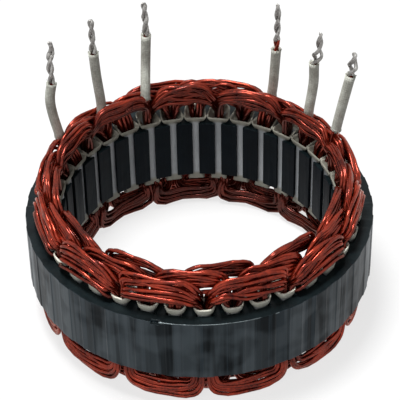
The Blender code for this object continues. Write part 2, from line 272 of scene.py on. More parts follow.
def new_group(name, inputs, outputs):
    """An empty shader node group with float or vector inputs and float outputs."""
    group = bpy.data.node_groups.new(name, "ShaderNodeTree")
    for socket, kind, default in inputs:
        made = group.interface.new_socket(socket, in_out="INPUT", socket_type=kind)
        if default is not None:
            made.default_value = default
    for socket in outputs:
        group.interface.new_socket(socket, in_out="OUTPUT", socket_type="NodeSocketFloat")
    return group, group.nodes.new("NodeGroupInput"), group.nodes.new("NodeGroupOutput")


def find_socket(node, key):
    """An input by its name, with _ for a space, or i and its place in the list."""
    if key[0] == "i" and key[1:].isdigit():
        return node.inputs[int(key[1:])]
    return node.inputs[key.replace("_", " ")]


def feed(tree, node, **inputs):
    """Give a node's inputs values or other nodes' outputs."""
    for key, value in inputs.items():
        socket = find_socket(node, key)
        if isinstance(value, bpy.types.NodeSocket):
            tree.links.new(value, socket)
        else:
            socket.default_value = value


def add_node(tree, kind, settings=None, **inputs):
    """A new node with its settings and inputs."""
    node = tree.nodes.new("ShaderNode" + kind)
    for key, value in (settings or {}).items():
        setattr(node, key, value)
    feed(tree, node, **inputs)
    return node


def add_math(tree, operation, first, second=0.0):
    """The result of a Math node."""
    return add_node(tree, "Math", {"operation": operation}, i0=first, i1=second).outputs[0]


def add_range(tree, value, start, end, low=0.0, high=1.0, smooth=False):
    """A value's place between start and end, stretched from low to high."""
    kind = {"interpolation_type": "SMOOTHSTEP" if smooth else "LINEAR"}
    return add_node(tree, "MapRange", kind, Value=value, From_Min=start, From_Max=end,
                    To_Min=low, To_Max=high).outputs[0]


def add_mix(tree, factor, low, high):
    """A value between two, by a factor."""
    return add_node(tree, "Mix", Factor=factor, i2=low, i3=high).outputs[0]


def add_blend(tree, factor, low, high, way="MIX"):
    """A colour between two, by a factor, or the first one shaded by the second."""
    settings = {"data_type": "RGBA", "blend_type": way}
    return add_node(tree, "Mix", settings, i0=factor, i6=low, i7=high).outputs[2]


def add_group(tree, group, **inputs):
    """A group placed in a material or in another group."""
    return add_node(tree, "Group", {"node_tree": group}, **inputs)


def add_factor(tree, group, **inputs):
    """The factor that a pattern's group gives."""
    return add_group(tree, group, **inputs).outputs["Factor"]


def object_place(tree):
    return add_node(tree, "TexCoord").outputs["Object"]


def new_material(name):
    material = bpy.data.materials.new(name)
    material.use_nodes = True
    tree = material.node_tree
    return material, tree, tree.nodes["Principled BSDF"]


def make_patches_group():
    """Soft patches: a slow noise and a fine one, as a factor from 0 to 1."""
    group, given, out = new_group(
        "soft patches",
        [("Vector", "NodeSocketVector", None), ("Size", "NodeSocketFloat", 100.0),
         ("Fine share", "NodeSocketFloat", 0.3)],
        ["Factor"])
    slow = add_node(group, "TexNoise", Vector=given.outputs["Vector"],
                    Scale=given.outputs["Size"], Detail=2.0)
    finer = add_math(group, "MULTIPLY", given.outputs["Size"], 7.0)
    fine = add_node(group, "TexNoise", Vector=given.outputs["Vector"], Scale=finer, Detail=2.0)
    mix = add_mix(group, given.outputs["Fine share"], slow.outputs["Fac"], fine.outputs["Fac"])
    feed(group, out, Factor=add_range(group, mix, 0.34, 0.66))
    return group


def make_bands_group():
    """Upright bands round the Z axis: a noise that hardly changes with height."""
    group, given, out = new_group(
        "upright bands",
        [("Vector", "NodeSocketVector", None), ("Count", "NodeSocketFloat", 12.0),
         ("Breaks", "NodeSocketFloat", 20.0)],
        ["Factor"])
    parts = add_node(group, "SeparateXYZ", Vector=given.outputs["Vector"])
    flat = add_node(group, "CombineXYZ", X=parts.outputs["X"], Y=parts.outputs["Y"])
    ring = add_node(group, "VectorMath", {"operation": "NORMALIZE"}, i0=flat.outputs[0])
    wide = add_node(group, "VectorMath", {"operation": "SCALE"}, i0=ring.outputs[0],
                    Scale=given.outputs["Count"])
    rise = add_math(group, "MULTIPLY", parts.outputs["Z"], given.outputs["Breaks"])
    high = add_node(group, "CombineXYZ", Z=rise)
    place = add_node(group, "VectorMath", {"operation": "ADD"}, i0=wide.outputs[0],
                     i1=high.outputs[0])
    noise = add_node(group, "TexNoise", Vector=place.outputs[0], Scale=1.0, Detail=1.6,
                     Roughness=0.5)
    feed(group, out, Factor=add_range(group, noise.outputs["Fac"], 0.40, 0.60, smooth=True))
    return group


def make_ring_group():
    """Where a place lies on the ring: its distance from the axis, its height, and how
    far above or below the core's middle it is."""
    group, given, out = new_group("place on the ring", [("Vector", "NodeSocketVector", None)],
                                  ["Radius", "Height", "Off middle"])
    parts = add_node(group, "SeparateXYZ", Vector=given.outputs["Vector"])
    flat = add_node(group, "CombineXYZ", X=parts.outputs["X"], Y=parts.outputs["Y"])
    radius = add_node(group, "VectorMath", {"operation": "LENGTH"}, i0=flat.outputs[0])
    above = add_math(group, "SUBTRACT", parts.outputs["Z"], CORE_MIDDLE)
    feed(group, out, Radius=radius.outputs["Value"], Height=parts.outputs["Z"],
         Off_middle=add_math(group, "ABSOLUTE", above))
    return group


def varnish_and_painted_shade(tree, ring):
    """1 where painted shade darkens the wires: near the core, where varnish also fills their
    roots, and, less so higher up, beside the bore.
    """
    # Painted shade near the core, with the varnish there, and on the wires beside the bore, less
    # higher up
    root_varnish_and_shade = add_range(tree, ring.outputs["Off middle"], *ROOT_VARNISH_AND_SHADE, 1.0, 0.0, smooth=True)
    inner = add_range(tree, ring.outputs["Radius"], *INNER_PAINTED_SHADE, 1.0, 0.0)
    height = add_range(tree, ring.outputs["Height"], *PAINTED_SHADE_HEIGHT, 0.95, 0.30)
    return add_math(tree, "MAXIMUM", root_varnish_and_shade, add_math(tree, "MULTIPLY", inner, height))


def make_enamel(patches, ring):
    """Red-brown enamel over copper wire, darkened by a cool painted shade near the core, where
    varnish also fills the roots, and beside the bore.
    """
    material, tree, shader = new_material("enamelled_copper")
    place = object_place(tree)
    worn = add_factor(tree, patches, Vector=place, Size=150.0, Fine_share=0.35)
    bright = add_blend(tree, worn, (0.060, 0.004, 0.003, 1), (0.38, 0.038, 0.014, 1))
    varnish_and_shade = varnish_and_painted_shade(tree, add_group(tree, ring, Vector=place))
    # Painted shade: the enamel is multiplied by a cool grey where the mask is high
    colour = add_blend(tree, varnish_and_shade, bright, (0.30, 0.29, 0.34, 1), "MULTIPLY")
    feed(tree, shader, Base_Color=colour, Roughness=add_range(tree, worn, 0.0, 1.0, 0.25, 0.14),
         Metallic=0.6, Specular_Tint=(1.0, 0.66, 0.56, 1), Coat_Weight=0.11, Coat_Roughness=0.16)
    return material


def make_tin(patches):
    """Solder-tinned ends of the wires."""
    material, tree, shader = new_material("tinned_copper")
    smeared = add_factor(tree, patches, Vector=object_place(tree), Size=520.0, Fine_share=0.4)
    colour = add_blend(tree, smeared, (0.16, 0.15, 0.14, 1), (0.50, 0.49, 0.47, 1))
    bump = add_node(tree, "Bump", Strength=0.5, Distance=0.0004, Height=smeared)
    feed(tree, shader, Base_Color=colour, Metallic=0.85, Normal=bump.outputs[0],
         Roughness=add_range(tree, smeared, 0.0, 1.0, 0.50, 0.28))
    return material


def rim_bands(tree, bands, place):
    """The rim's upright bands: wide stripes broken into blocks, and thin lines."""
    soft = add_factor(tree, bands, Vector=place, Count=10.0, Breaks=9.0)
    blocks = add_factor(tree, bands, Vector=place, Count=6.0, Breaks=110.0)
    lines = add_factor(tree, bands, Vector=place, Count=45.0, Breaks=14.0)
    panels = add_mix(tree, 0.42, add_range(tree, soft, 0.3, 0.7), blocks)
    return add_mix(tree, 0.14, panels, lines)


def rim_colour(tree, bands, place, banded):
    """Blue-grey varnish whose colour is lighter and darker in upright bands as painted soft
    reflections, with a few thin painted highlights.
    """
    # Painted reflections: the varnish's colour follows the upright bands
    plain = add_blend(tree, banded, (0.0002, 0.0015, 0.003, 1), (0.015, 0.032, 0.044, 1))
    thin = add_factor(tree, bands, Vector=place, Count=28.0, Breaks=5.0)
    # Painted highlights: thin paler lines blended into the colour
    glints = add_range(tree, thin, 0.80, 1.0, high=0.55)
    return add_blend(tree, glints, plain, (0.042, 0.062, 0.078, 1))


def end_faces(tree, normal):
    """1 on the core's two flat faces, 0 on its sides."""
    upright = add_math(tree, "ABSOLUTE", add_node(tree, "SeparateXYZ", Vector=normal).outputs["Z"])
    return add_range(tree, upright, 0.6, 0.9)


def steel_relief(tree, place, banded):
    """Fine ridges of the stacked sheets under the varnish's soft waves."""
    sheets = add_node(tree, "TexWave", {"bands_direction": "Z", "wave_profile": "SIN"},
                      Vector=place, Scale=314.0)
    ridges = add_node(tree, "Bump", Strength=0.05, Distance=0.0001, Height=sheets.outputs["Fac"])
    waves = add_node(tree, "Bump", Strength=0.35, Distance=0.0006, Height=banded,
                     Normal=ridges.outputs[0])
    return waves.outputs[0]


def make_steel(patches, bands, ring):
    """Dark blue-grey varnish over the edges of stacked steel sheet.

    The rim has soft upright bands, whose lighter and darker colour paints
    soft reflections, and thin painted highlights; the ground bore is duller
    and the flat faces are nearly black and smoother."""
    material, tree, shader = new_material("varnished_laminations")
    coordinates = add_node(tree, "TexCoord")
    place = coordinates.outputs["Object"]
    banded = rim_bands(tree, bands, place)
    face = end_faces(tree, coordinates.outputs["Normal"])
    radius = add_group(tree, ring, Vector=place).outputs["Radius"]
    bore = add_range(tree, radius, *BORE_EDGE, 1.0, 0.0)
    stains = add_factor(tree, patches, Vector=place, Size=110.0, Fine_share=0.3)
    top = add_blend(tree, stains, (0.002, 0.004, 0.005, 1), (0.008, 0.014, 0.016, 1))
    dull = add_blend(tree, stains, (0.002, 0.003, 0.005, 1), (0.005, 0.008, 0.012, 1))
    sides = add_blend(tree, bore, rim_colour(tree, bands, place, banded), dull)
    rough = add_range(tree, banded, 0.0, 1.0, 0.40, 0.50)
    gloss = add_range(tree, banded, 0.0, 1.0, 0.04, 0.70)
    shine = add_mix(tree, bore, add_mix(tree, face, gloss, 0.16), 0.0)
    feed(tree, shader, Base_Color=add_blend(tree, face, sides, top),
         Roughness=add_mix(tree, face, rough, 0.24), Coat_Weight=shine, Coat_Roughness=0.40,
         Specular_IOR_Level=0.06, Specular_Tint=(0.80, 0.95, 1.0, 1),
         Normal=steel_relief(tree, place, banded))
    return material


def make_bare_edge(patches):
    """Bare steel where the wound strip ends."""
    material, tree, shader = new_material("bare_steel_edge")
    worn = add_factor(tree, patches, Vector=object_place(tree), Size=300.0, Fine_share=0.5)
    colour = add_blend(tree, worn, (0.03, 0.04, 0.045, 1), (0.22, 0.26, 0.27, 1))
    feed(tree, shader, Base_Color=colour, Metallic=0.6, Roughness=0.4)
    return material


def make_paper(patches, ring):
    """Cream insulating sheet, painted a cool grey inside the slots for the shade it lies in there,
    and stained beside the bore by varnish.
    """
    material, tree, shader = new_material("insulating_sheet")
    place = object_place(tree)
    where = add_group(tree, ring, Vector=place)
    soaked = add_factor(tree, patches, Vector=place, Size=190.0, Fine_share=0.4)
    cream = add_blend(tree, soaked, (0.74, 0.74, 0.62, 1), (0.95, 0.94, 0.83, 1))
    stained = add_range(tree, where.outputs["Radius"], *CUFF_STAIN, smooth=True)
    cuff = add_blend(tree, stained, cream, (0.44, 0.43, 0.36, 1))
    streaks = add_node(tree, "Mapping", Vector=place, Scale=(1, 1, 0.15))
    brushed = add_factor(tree, patches, Vector=streaks.outputs[0], Size=420.0, Fine_share=0.3)
    # Painted shade: inside the slots the sheet is coloured a cool grey for the shade it lies in
    grey = add_blend(tree, brushed, (0.56, 0.60, 0.63, 1), (0.80, 0.84, 0.87, 1))
    inside = add_range(tree, where.outputs["Off middle"], *SLOT_GREY, 1.0, 0.0, smooth=True)
    bump = add_node(tree, "Bump", Strength=0.2, Distance=0.0002, Height=soaked)
    feed(tree, shader, Base_Color=add_blend(tree, inside, cuff, grey), Roughness=0.55,
         Normal=bump.outputs[0])
    return material


def braid_weave(tree, along_and_round):
    """Strands that cross both ways round a tube, from 0 to 1."""
    parts = add_node(tree, "SeparateXYZ", Vector=along_and_round)
    along = add_math(tree, "MULTIPLY", parts.outputs["X"], 22.0)
    around = add_math(tree, "MULTIPLY", parts.outputs["Y"], 8.0)
    strands = []
    for way in ("ADD", "SUBTRACT"):
        angle = add_math(tree, "MULTIPLY", add_math(tree, way, along, around), 2 * math.pi)
        strands.append(add_math(tree, "SINE", angle))
    return add_range(tree, add_math(tree, "MULTIPLY", *strands), -1.0, 1.0)


def make_braid(patches):
    """Braided glass sleeving soaked in varnish; the pattern follows the tube."""
    material, tree, shader = new_material("braided_sleeving")
    coordinates = add_node(tree, "TexCoord")
    soiled = add_factor(tree, patches, Vector=coordinates.outputs["Object"], Size=230.0,
                        Fine_share=0.45)
    plain = add_blend(tree, soiled, (0.50, 0.50, 0.43, 1), (0.86, 0.88, 0.79, 1))
    weave = braid_weave(tree, coordinates.outputs["UV"])
    shade = add_range(tree, weave, 0.0, 1.0, 0.84, 1.04)
    bump = add_node(tree, "Bump", Strength=0.35, Distance=0.0003, Height=weave)
    feed(tree, shader, Base_Color=add_blend(tree, 1.0, plain, shade, "MULTIPLY"), Roughness=0.62,
         Normal=bump.outputs[0])
    return material


def link_piece(name, data):
    piece = bpy.data.objects.new(name, data)
    bpy.context.scene.collection.objects.link(piece)
    return piece


def mesh_piece(name, mesh, material=None, smooth=False):
    """A piece made of a finished bmesh, which is freed."""
    data = bpy.data.meshes.new(name)
    mesh.to_mesh(data)
    mesh.free()
    if material:
        data.materials.append(material)
    if smooth:
        data.shade_smooth()
    return link_piece(name, data)


def dress(piece, node):
    """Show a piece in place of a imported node."""
    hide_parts(node)
    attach(piece, "root")


def turn_mesh(mesh, degrees):
    """Turn a mesh clockwise round the core's axis."""
    bmesh.ops.rotate(mesh, verts=mesh.verts, cent=(0, 0, 0), matrix=turned(z=-degrees))


def new_curve(name, radius, sides, material):
    """An empty round curve."""
    curve = bpy.data.curves.new(name, "CURVE")
    curve.dimensions = "3D"
    curve.bevel_depth = radius
    curve.bevel_resolution = sides
    curve.materials.append(material)
    return curve


def wire_curve(name, routes, radius, material, sides=2, lumps=None):
    """One curve piece of round wires that run smoothly through their points.

    With lumps, a seeded source of chance, their thickness varies as solder does."""
    curve = new_curve(name, radius, sides, material)
    curve.use_fill_caps = True
    curve.resolution_u = 3
    for route in routes:
        spline = curve.splines.new("BEZIER")
        spline.bezier_points.add(len(route) - 1)
        for point, place in zip(spline.bezier_points, route):
            point.co = place
            point.handle_left_type = "AUTO"
            point.handle_right_type = "AUTO"
            if lumps:
                point.radius = lumps.uniform(0.85, 1.4)
        if lumps:
            spline.bezier_points[-1].radius = 0.7
    return link_piece(name, curve)


def exit_radius(phase, place, column):
    """Where in its slot a wire lies. Place is 0 next to its phase's layer and 1
    furthest from it. The middle phase's two columns spread to different sides."""
    way = -1 if phase == "v" and not column else 1
    return LAYER_SIDE[phase] + FAR_SIDE[phase] * place * way


def arch_exit(phase, share, column, straight):
    """Where a wire leaves its slot for an arch, and how soon it joins its layer."""
    if (phase, straight) in ARCH_EXITS:
        nearest, off, outward = ARCH_EXITS[phase, straight]
        return nearest + off * share, outward
    return exit_radius(phase, share if phase == "u" else 1 - share, column), PLAIN_OUTWARD


def arch_half(phase, share, column, depth, reach, steep, chance):
    """A wire's points inside its slot, at the cuff, rising, turning and at its arch's
    shoulder, told as (degrees off the slot, radius, height over the core). Steep,
    from about 0 to 1, is how straight the wires rise before they turn."""
    layer = LAYER_RADIUS[phase] + depth
    leaving, outward = arch_exit(phase, share, column, steep > STRAIGHT_FROM)
    behind = (leaving - FRONT_WIRE) / STACK_DEPTH
    upright = phase == "w" and steep > UPRIGHT_FROM
    shift = UPRIGHT_SHIFT if upright else 0
    foot = ARCH_FOOT[phase] + (UPRIGHT_LIFT if upright else 0)
    swerve = chance.uniform(-SWERVE, SWERVE) * (INNER_SWERVE if phase == "w" else 1)
    degrees = (COLUMN_DEGREES[column] - shift,
               (0.85, lerp(2.2, 1.4, behind))[column] - shift,
               lerp(2.1 - 0.8 * steep, 0.8, share) + (1.5 - 0.5 * steep) * column - shift,
               lerp(4.2 - 1.2 * steep, 2.5 - 1.0 * steep, share)
               - lerp(0.6, 1.2, share) * (1 - column) - 0.6 * shift,
               lerp(7.6, 6.1 - 2.0 * steep, share))
    radii = (leaving, leaving + 0.9 * MM * behind, lerp(leaving, layer, outward), layer, layer)
    heights = (WIRE_START, 1.6,
               lerp(0.62 * foot, 0.62 * foot + 1.6 + 3.4 * steep, share),
               lerp(0.92 * foot, (0.69 + 0.14 * steep) * reach, share) + swerve,
               lerp(1.02 * foot, 0.95 * reach, share) + swerve)
    return list(zip(degrees, radii, heights))


def loop_half(phase, share, column, depth, reach, chance):
    """A wire's points inside its slot, at the cuff, sinking, turning and at its loop's
    shoulder, told as an arch's are, with depths under the core."""
    layer = LAYER_RADIUS[phase] + depth
    leaving = exit_radius(phase, 1 - share, column)
    narrow = 1.5 if phase == "w" else 0
    degrees = (COLUMN_DEGREES[column], lerp(1.8, 0.6, share), lerp(3.9, 0.9, share),
               lerp(5.2 - narrow, 1.5 - 1.2 * narrow, share), lerp(8.6, 4.1, share) - 2.2 * narrow)
    radii = (leaving, leaving, lerp(leaving, layer, 0.8), layer, layer)
    shoulder = lerp(0.95 * LOOP_HIGH[phase], 0.94, share) * reach + chance.uniform(-0.3, 0.1)
    return list(zip(degrees, radii, (WIRE_START, 0.6, 3.7, lerp(6.6, 9.4, share), shoulder)))


def arch_turns(phase, slot, chance):
    """How straight the two ends of an arch rise. An inner arch's rises straight that
    is nearer the back."""
    turns = [chance.uniform(-0.4, 0.3) for _ in range(2)]
    if phase == "u":
        sharp = (slot in SHARP_STARTS, slot in SHARP_ENDS)
        turns = [SHARP_TURN if chosen else turn for chosen, turn in zip(sharp, turns)]
    if phase == "w":
        straight = FRONT_TURN if slot in FRONT_INNER else UPRIGHT_TURN
        front = SLOT_COUNT / 2
        turns = [straight if nearer else SLACK_TURN for nearer in (0 < slot < front, slot > front)]
    return turns


def plan_crossing(phase, slot, end, chance):
    """What all wires from one slot to the next share: how far from the core the
    furthest reaches, the nearest one's share of that, how many degrees off the
    middle they are highest, and how straight their two ends rise."""
    if end == "top":
        reach = ARCH_TOP[phase] + chance.uniform(-0.6, 0.3) + ARCH_LIFT.get((phase, slot), 0)
        nearest = 1.06 * ARCH_FOOT[phase] / reach
    else:
        reach = LOOP_DEPTH[phase] - chance.uniform(0.0, 0.6)
        nearest = LOOP_HIGH[phase]
    hump = chance.uniform(-2.5, 2.5)
    return Crossing(phase, slot, end, reach, nearest, hump, arch_turns(phase, slot, chance))


def wire_half(crossing, side, share, column, out, chance):
    """A wire's points from its first or last slot, told from there. Out is how many
    millimetres outside its layer it lies."""
    phase = crossing.phase
    steep = crossing.turns[side]
    if crossing.end == "top":
        out += INNER_ARCH_OUT[steep > STRAIGHT_FROM] if phase == "w" else 0
        return arch_half(phase, share, column, out * MM, crossing.reach, steep, chance)
    out += INNER_LOOP_OUT[side] if phase == "w" else 0
    return loop_half(phase, share, column, out * MM, crossing.reach, chance)


def placed_route(slot, end, points):
    """Places of a wire's points, which are told from its slot and its end of the core."""
    face, way = (CORE_TOP, 1) if end == "top" else (CORE_BOTTOM, -1)
    return [rim_point(radius, slot * SLOT_PITCH + degrees, face + way * rise * MM)
            for degrees, radius, rise in points]


def wire_route(crossing, share, column, chance):
    """One wire's route from its slot to the next of its phase."""
    phase = crossing.phase
    top = crossing.end == "top"
    out = COLUMN_OUT[column] + chance.uniform(-0.4, 0.3)
    out -= ARCH_LEAN[phase] * share if top else LOOP_LEAN[phase]
    across = out + chance.choice((0, 0.9 - 1.8 * column))
    loose = 1 if top else LOOP_LOOSENESS
    start = within(share + loose * chance.uniform(-0.25, 0.25))
    finish = within(share + loose * chance.choice((-0.3, -0.15, 0, 0, 0.15, 0.3)))
    first = wire_half(crossing, 0, start, column, out, chance)
    last = wire_half(crossing, 1, finish, column, across, chance)
    crown = lerp(crossing.nearest, 1, share ** 0.85) * crossing.reach + chance.uniform(-0.5, 0.2)
    radius = LAYER_RADIUS[phase] + (out + across) / 2 * MM
    points = [*first, (CROSSING / 2 + crossing.hump, radius, crown)]
    points += [(CROSSING - degrees, radius, rise) for degrees, radius, rise in last[::-1]]
    if not top:
        deepest = DEEPEST[phase]
        points = [(degrees, radius, min(rise, deepest)) for degrees, radius, rise in points]
    return placed_route(crossing.slot, crossing.end, points)


def crossing_routes(phase, slot, end, chance):
    """The routes of all wires from one slot to the next of its phase."""
    crossing = plan_crossing(phase, slot, end, chance)
    count = WIRE_COUNT[phase]
    return [wire_route(crossing, j / (count - 1), j % 2, chance) for j in range(count)]


def stray_route(slot, chance):
    """The lowest wire of some outer arches, which dips close to the core."""
    low = chance.uniform(2.2, 3.0)
    high = chance.uniform(3.6, 5.0)
    points = [(0.9, 0.0575, WIRE_START), (1.5, 0.0585, 0.9), (3.4, 0.0610, low),
              (8.0, 0.0612, high), (15.0, 0.0611, high), (22.0, 0.0612, high - 0.6),
              (26.6, 0.0610, low), (28.5, 0.0585, 0.9), (29.1, 0.0575, WIRE_START)]
    return placed_route(slot, "top", points)


def make_windings(enamel):
    """Every wire of the three phases, as one piece for each phase."""
    for index, phase in enumerate(PHASES):
        chance = random.Random(WINDING_SEED + index)
        routes = []
        for slot in range(-index, -index + SLOT_COUNT, len(PHASES)):
            for end in ("top", "bottom"):
                routes += crossing_routes(phase, slot, end, chance)
            if phase == "u" and chance.random() < STRAY_SHARE:
                routes.append(stray_route(slot, chance))
        wires = wire_curve(f"wires_{phase}", routes, WIRE_RADIUS, enamel)
        dress(wires, f"phase_{phase}_winding")


def lead_points(phase, slot, offsets):
    """Places of a lead's bends, told from its layer, its slot and the core's top."""
    return [rim_point(LAYER_RADIUS[phase] + out, slot * SLOT_PITCH + along, CORE_TOP + rise)
            for out, along, rise in offsets]


def smooth_route(points, steps):
    """Catmull-Rom curve through the points, with so many steps to each span."""
    padded = [2 * points[0] - points[1], *points, 2 * points[-1] - points[-2]]
    route = [points[0]]
    for before, start, end, after in zip(padded, padded[1:], padded[2:], padded[3:]):
        for step in range(1, steps + 1):
            t = step / steps
            bend = (2 * before - 5 * start + 4 * end - after) * t ** 2
            bend += (3 * start - before - 3 * end + after) * t ** 3
            route.append((2 * start + (end - before) * t + bend) / 2)
    return route


def swing_at(route, i, slot, turn):
    """A unit step sideways from a route's point, turned round the route."""
    along = (route[min(i + 1, len(route) - 1)] - route[max(i - 1, 0)]).normalized()
    side = along.cross(rim_point(1, slot * SLOT_PITCH, 0)).normalized()
    return side.cross(along) * math.cos(turn) + side * math.sin(turn)


def twisted_pair(route, slot, spacing, pitch, eye=None):
    """Two strands wound round a route, parted where eye says, from 0 to 1."""
    strands = ([], [])
    turn = 0
    for i, centre in enumerate(route):
        if i:
            turn += 2 * math.pi * (centre - route[i - 1]).length / pitch
        apart = spacing * (1 - TIP_TAPER * (i / (len(route) - 1)) ** 4)
        if eye is not None:
            apart += EYE_OPENING * math.exp(-((i / len(route) - eye) / EYE_LENGTH) ** 2)
        swing = swing_at(route, i, slot, turn)
        strands[0].append(centre + swing * apart)
        strands[1].append(centre - swing * apart)
    return strands


def make_leads(enamel, tin):
    """Each lead's two strands, enamelled up to its sleeve's mouth and tinned above."""
    chance = random.Random(LEAD_SEED)
    for name, (phase, slot, sleeved, bare) in LEADS.items():
        start = lead_points(phase, slot, [LEAD_ROOT, MOVED_SLEEVES.get(name, SLEEVE_START)])
        covered = smooth_route(start + lead_points(phase, slot, sleeved), 3)
        free = smooth_route([covered[-1]] + lead_points(phase, slot, bare), 5)
        free[-1].z -= TIP_CUT
        hidden = twisted_pair(covered, slot, STRAND_RADIUS, SLEEVED_TWIST)
        shown = twisted_pair(free, slot, STRAND_RADIUS * 1.05, BARE_TWIST, LEAD_EYES.get(name))
        red = ENAMEL_ABOVE.get(name, 0)
        enamelled = [*hidden, *(strand[:red + 1] for strand in shown if red)]
        root = wire_curve(f"lead_root_{name}", enamelled, STRAND_RADIUS, enamel)
        tinned = [strand[red:] for strand in shown]
        tip = wire_curve(f"tinned_end_{name}", tinned, STRAND_RADIUS, tin, 3, chance)
        dress(root, f"phase_{phase}_winding")
        dress(tip, f"phase_{phase}_winding")


def sleeve_tube(name, route, braid):
    """A thin-walled tube along a route, a little wider at its mouths."""
    curve = new_curve(name, SLEEVE_RADIUS, 6, braid)
    spline = curve.splines.new("POLY")
    spline.points.add(len(route) - 1)
    for point, place in zip(spline.points, route):
        point.co = (*place, 1)
    spline.points[0].radius, spline.points[-1].radius = SLEEVE_MOUTHS
    sleeve = link_piece(name, curve)
    wall = sleeve.modifiers.new("wall", "SOLIDIFY")
    wall.thickness = SLEEVE_WALL
    return sleeve


def fibre_routes(route, slot, chance):
    """Short loose ends of glass thread round both mouths of a sleeve."""
    routes = []
    for i, inward in ((0, route[1]), (len(route) - 1, route[-2])):
        out = (route[i] - inward).normalized()
        for _ in range(FIBRE_COUNT):
            swing = swing_at(route, i, slot, chance.uniform(0, 2 * math.pi))
            start = route[i] + swing * (SLEEVE_RADIUS - 0.2 * MM) - out * 0.3 * MM
            length = chance.uniform(*FIBRE_LENGTH)
            routes.append([start, start + out * length * 0.6 + swing * length * 0.2,
                           start + out * length + swing * length * chance.uniform(0, 0.7)])
    return routes


def make_sleeves(braid):
    """A braided sleeve on each lead, with loose fibres at its mouths."""
    for name, (phase, slot, sleeved, _) in LEADS.items():
        start = MOVED_SLEEVES.get(name, SLEEVE_START)
        route = smooth_route(lead_points(phase, slot, [start, *sleeved]), 6)
        dress(sleeve_tube(f"braid_{name}", route, braid), f"sleeve_{name}")
        fibres = fibre_routes(route, slot, random.Random(name))
        dress(wire_curve(f"loose_fibres_{name}", fibres, FIBRE_RADIUS, braid, 0),
              f"sleeve_{name}")


def sheet_half_width(radius):
    """Half the width of a folded sheet, which keeps a gap to the teeth."""
    half_pitch = math.radians(SLOT_PITCH / 2)
    return radius * math.tan(half_pitch) - (TOOTH_WIDTH / 2 + GAP) / math.cos(half_pitch)


def round_corners(mesh, corners, size, segments):
    bmesh.ops.bevel(mesh, geom=corners, affect="VERTICES", offset=size, segments=segments,
                    profile=0.5, material=-1)


def liner_section(mesh, near, far):
    """The folded sheet's outline, with tight corners at the bore and round ones behind."""
    corners = [(-sheet_half_width(near), near), (sheet_half_width(near), near),
               (sheet_half_width(far), far), (-sheet_half_width(far), far)]
    verts = [mesh.verts.new((across, radius, 0)) for across, radius in corners]
    mesh.faces.new(verts)
    round_corners(mesh, verts[:2], FRONT_CORNER, 3)
    behind = [vert for vert in mesh.verts if vert.co.y > far - 1e-5]
    round_corners(mesh, behind, BACK_CORNER, 6)
    bmesh.ops.delete(mesh, geom=mesh.faces[:], context="FACES_ONLY")
    wide = [edge for edge in mesh.edges if edge.calc_length() > WIDE_EDGE]
    bmesh.ops.subdivide_edges(mesh, edges=wide, cuts=3)


def draw_up(mesh, heights):
    """Extrude an outline from the first height through the others."""
    bmesh.ops.translate(mesh, verts=mesh.verts, vec=(0, 0, heights[0]))
    edges = mesh.edges[:]
    for below, above in zip(heights, heights[1:]):
        drawn = bmesh.ops.extrude_edge_only(mesh, edges=edges)["geom"]
        edges = [item for item in drawn if isinstance(item, bmesh.types.BMEdge)]
        verts = [item for item in drawn if isinstance(item, bmesh.types.BMVert)]
        bmesh.ops.translate(mesh, verts=verts, vec=(0, 0, above - below))


def flare(vert, near, far, half):
    """Open the sheet's ends into cuffs, widest beside the bore."""
    over = (abs(vert.co.z) - half) / CUFF_HEIGHT
    share = within(over) ** CUFF_CURVE
    behind = (vert.co.y - near) / (far - near)
    if vert.co.z < 0:
        share *= LOWER_CUFF
    elif over > 0 and behind < DIP_BACK:
        dip = CUFF_DIP * (1 - (vert.co.x / DIP_HALF_WIDTH) ** 2)
        vert.co.z -= max(dip, 0) * over
    sideways = lerp(*CUFF_SPREAD, behind)
    vert.co.x += max(min(vert.co.x / CUFF_MIDDLE, 1), -1) * sideways * share
    vert.co.y += lerp(*CUFF_LEAN, behind ** 2) * share


def make_liner(number, paper):
    """A sheet folded round the slot, its ends flared into rounded cuffs."""
    mesh = bmesh.new()
    near = SHOULDER_RADIUS + GAP
    far = SLOT_BOTTOM_RADIUS - GAP
    liner_section(mesh, near, far)
    half = (CORE_TOP - CORE_BOTTOM) / 2
    heights = [-half - CUFF_HEIGHT * share for share in CUFF_STEPS]
    heights += [-height for height in heights[::-1]]
    draw_up(mesh, heights)
    for vert in mesh.verts:
        flare(vert, near, far, half)
    bmesh.ops.recalc_face_normals(mesh, faces=mesh.faces)
    bmesh.ops.solidify(mesh, geom=mesh.faces[:], thickness=SHEET_THICKNESS)
    bmesh.ops.translate(mesh, verts=mesh.verts, vec=(0, 0, CORE_MIDDLE))
    turn_mesh(mesh, (number - 1) * SLOT_PITCH)
    liner = mesh_piece(f"folded_liner_{number:02}", mesh, paper, smooth=True)
    dress(liner, f"slot_liner_{number:02}")


def cut_notch(core):
    """The gap beside the end of the wound strip, cut out of the core's top edge."""
    mesh = bmesh.new()
    bmesh.ops.create_cube(mesh, size=1)
    bmesh.ops.scale(mesh, verts=mesh.verts, vec=NOTCH_SIZE)
    bmesh.ops.translate(mesh, verts=mesh.verts, vec=(0, CORE_RADIUS, CORE_TOP))
    turn_mesh(mesh, STRIP_END)
    cutter = mesh_piece("notch_cutter", mesh)
    cut = core.modifiers.new("notch", "BOOLEAN")
    cut.operation = "DIFFERENCE"
    cut.solver = "EXACT"
    cut.object = cutter
    shown = core.evaluated_get(bpy.context.evaluated_depsgraph_get())
    core.data = bpy.data.meshes.new_from_object(shown)
    core.modifiers.remove(cut)
    bpy.data.objects.remove(cutter)


def soften_rib(vert):
    """Move a point of the rim nearer the plain round it stands off."""
    radius = vert.co.xy.length
    if radius > CORE_RADIUS - RIM_DEPTH:
        eased = lerp(CORE_RADIUS, radius, RIB_SHARE) / radius
        vert.co.x *= eased
        vert.co.y *= eased


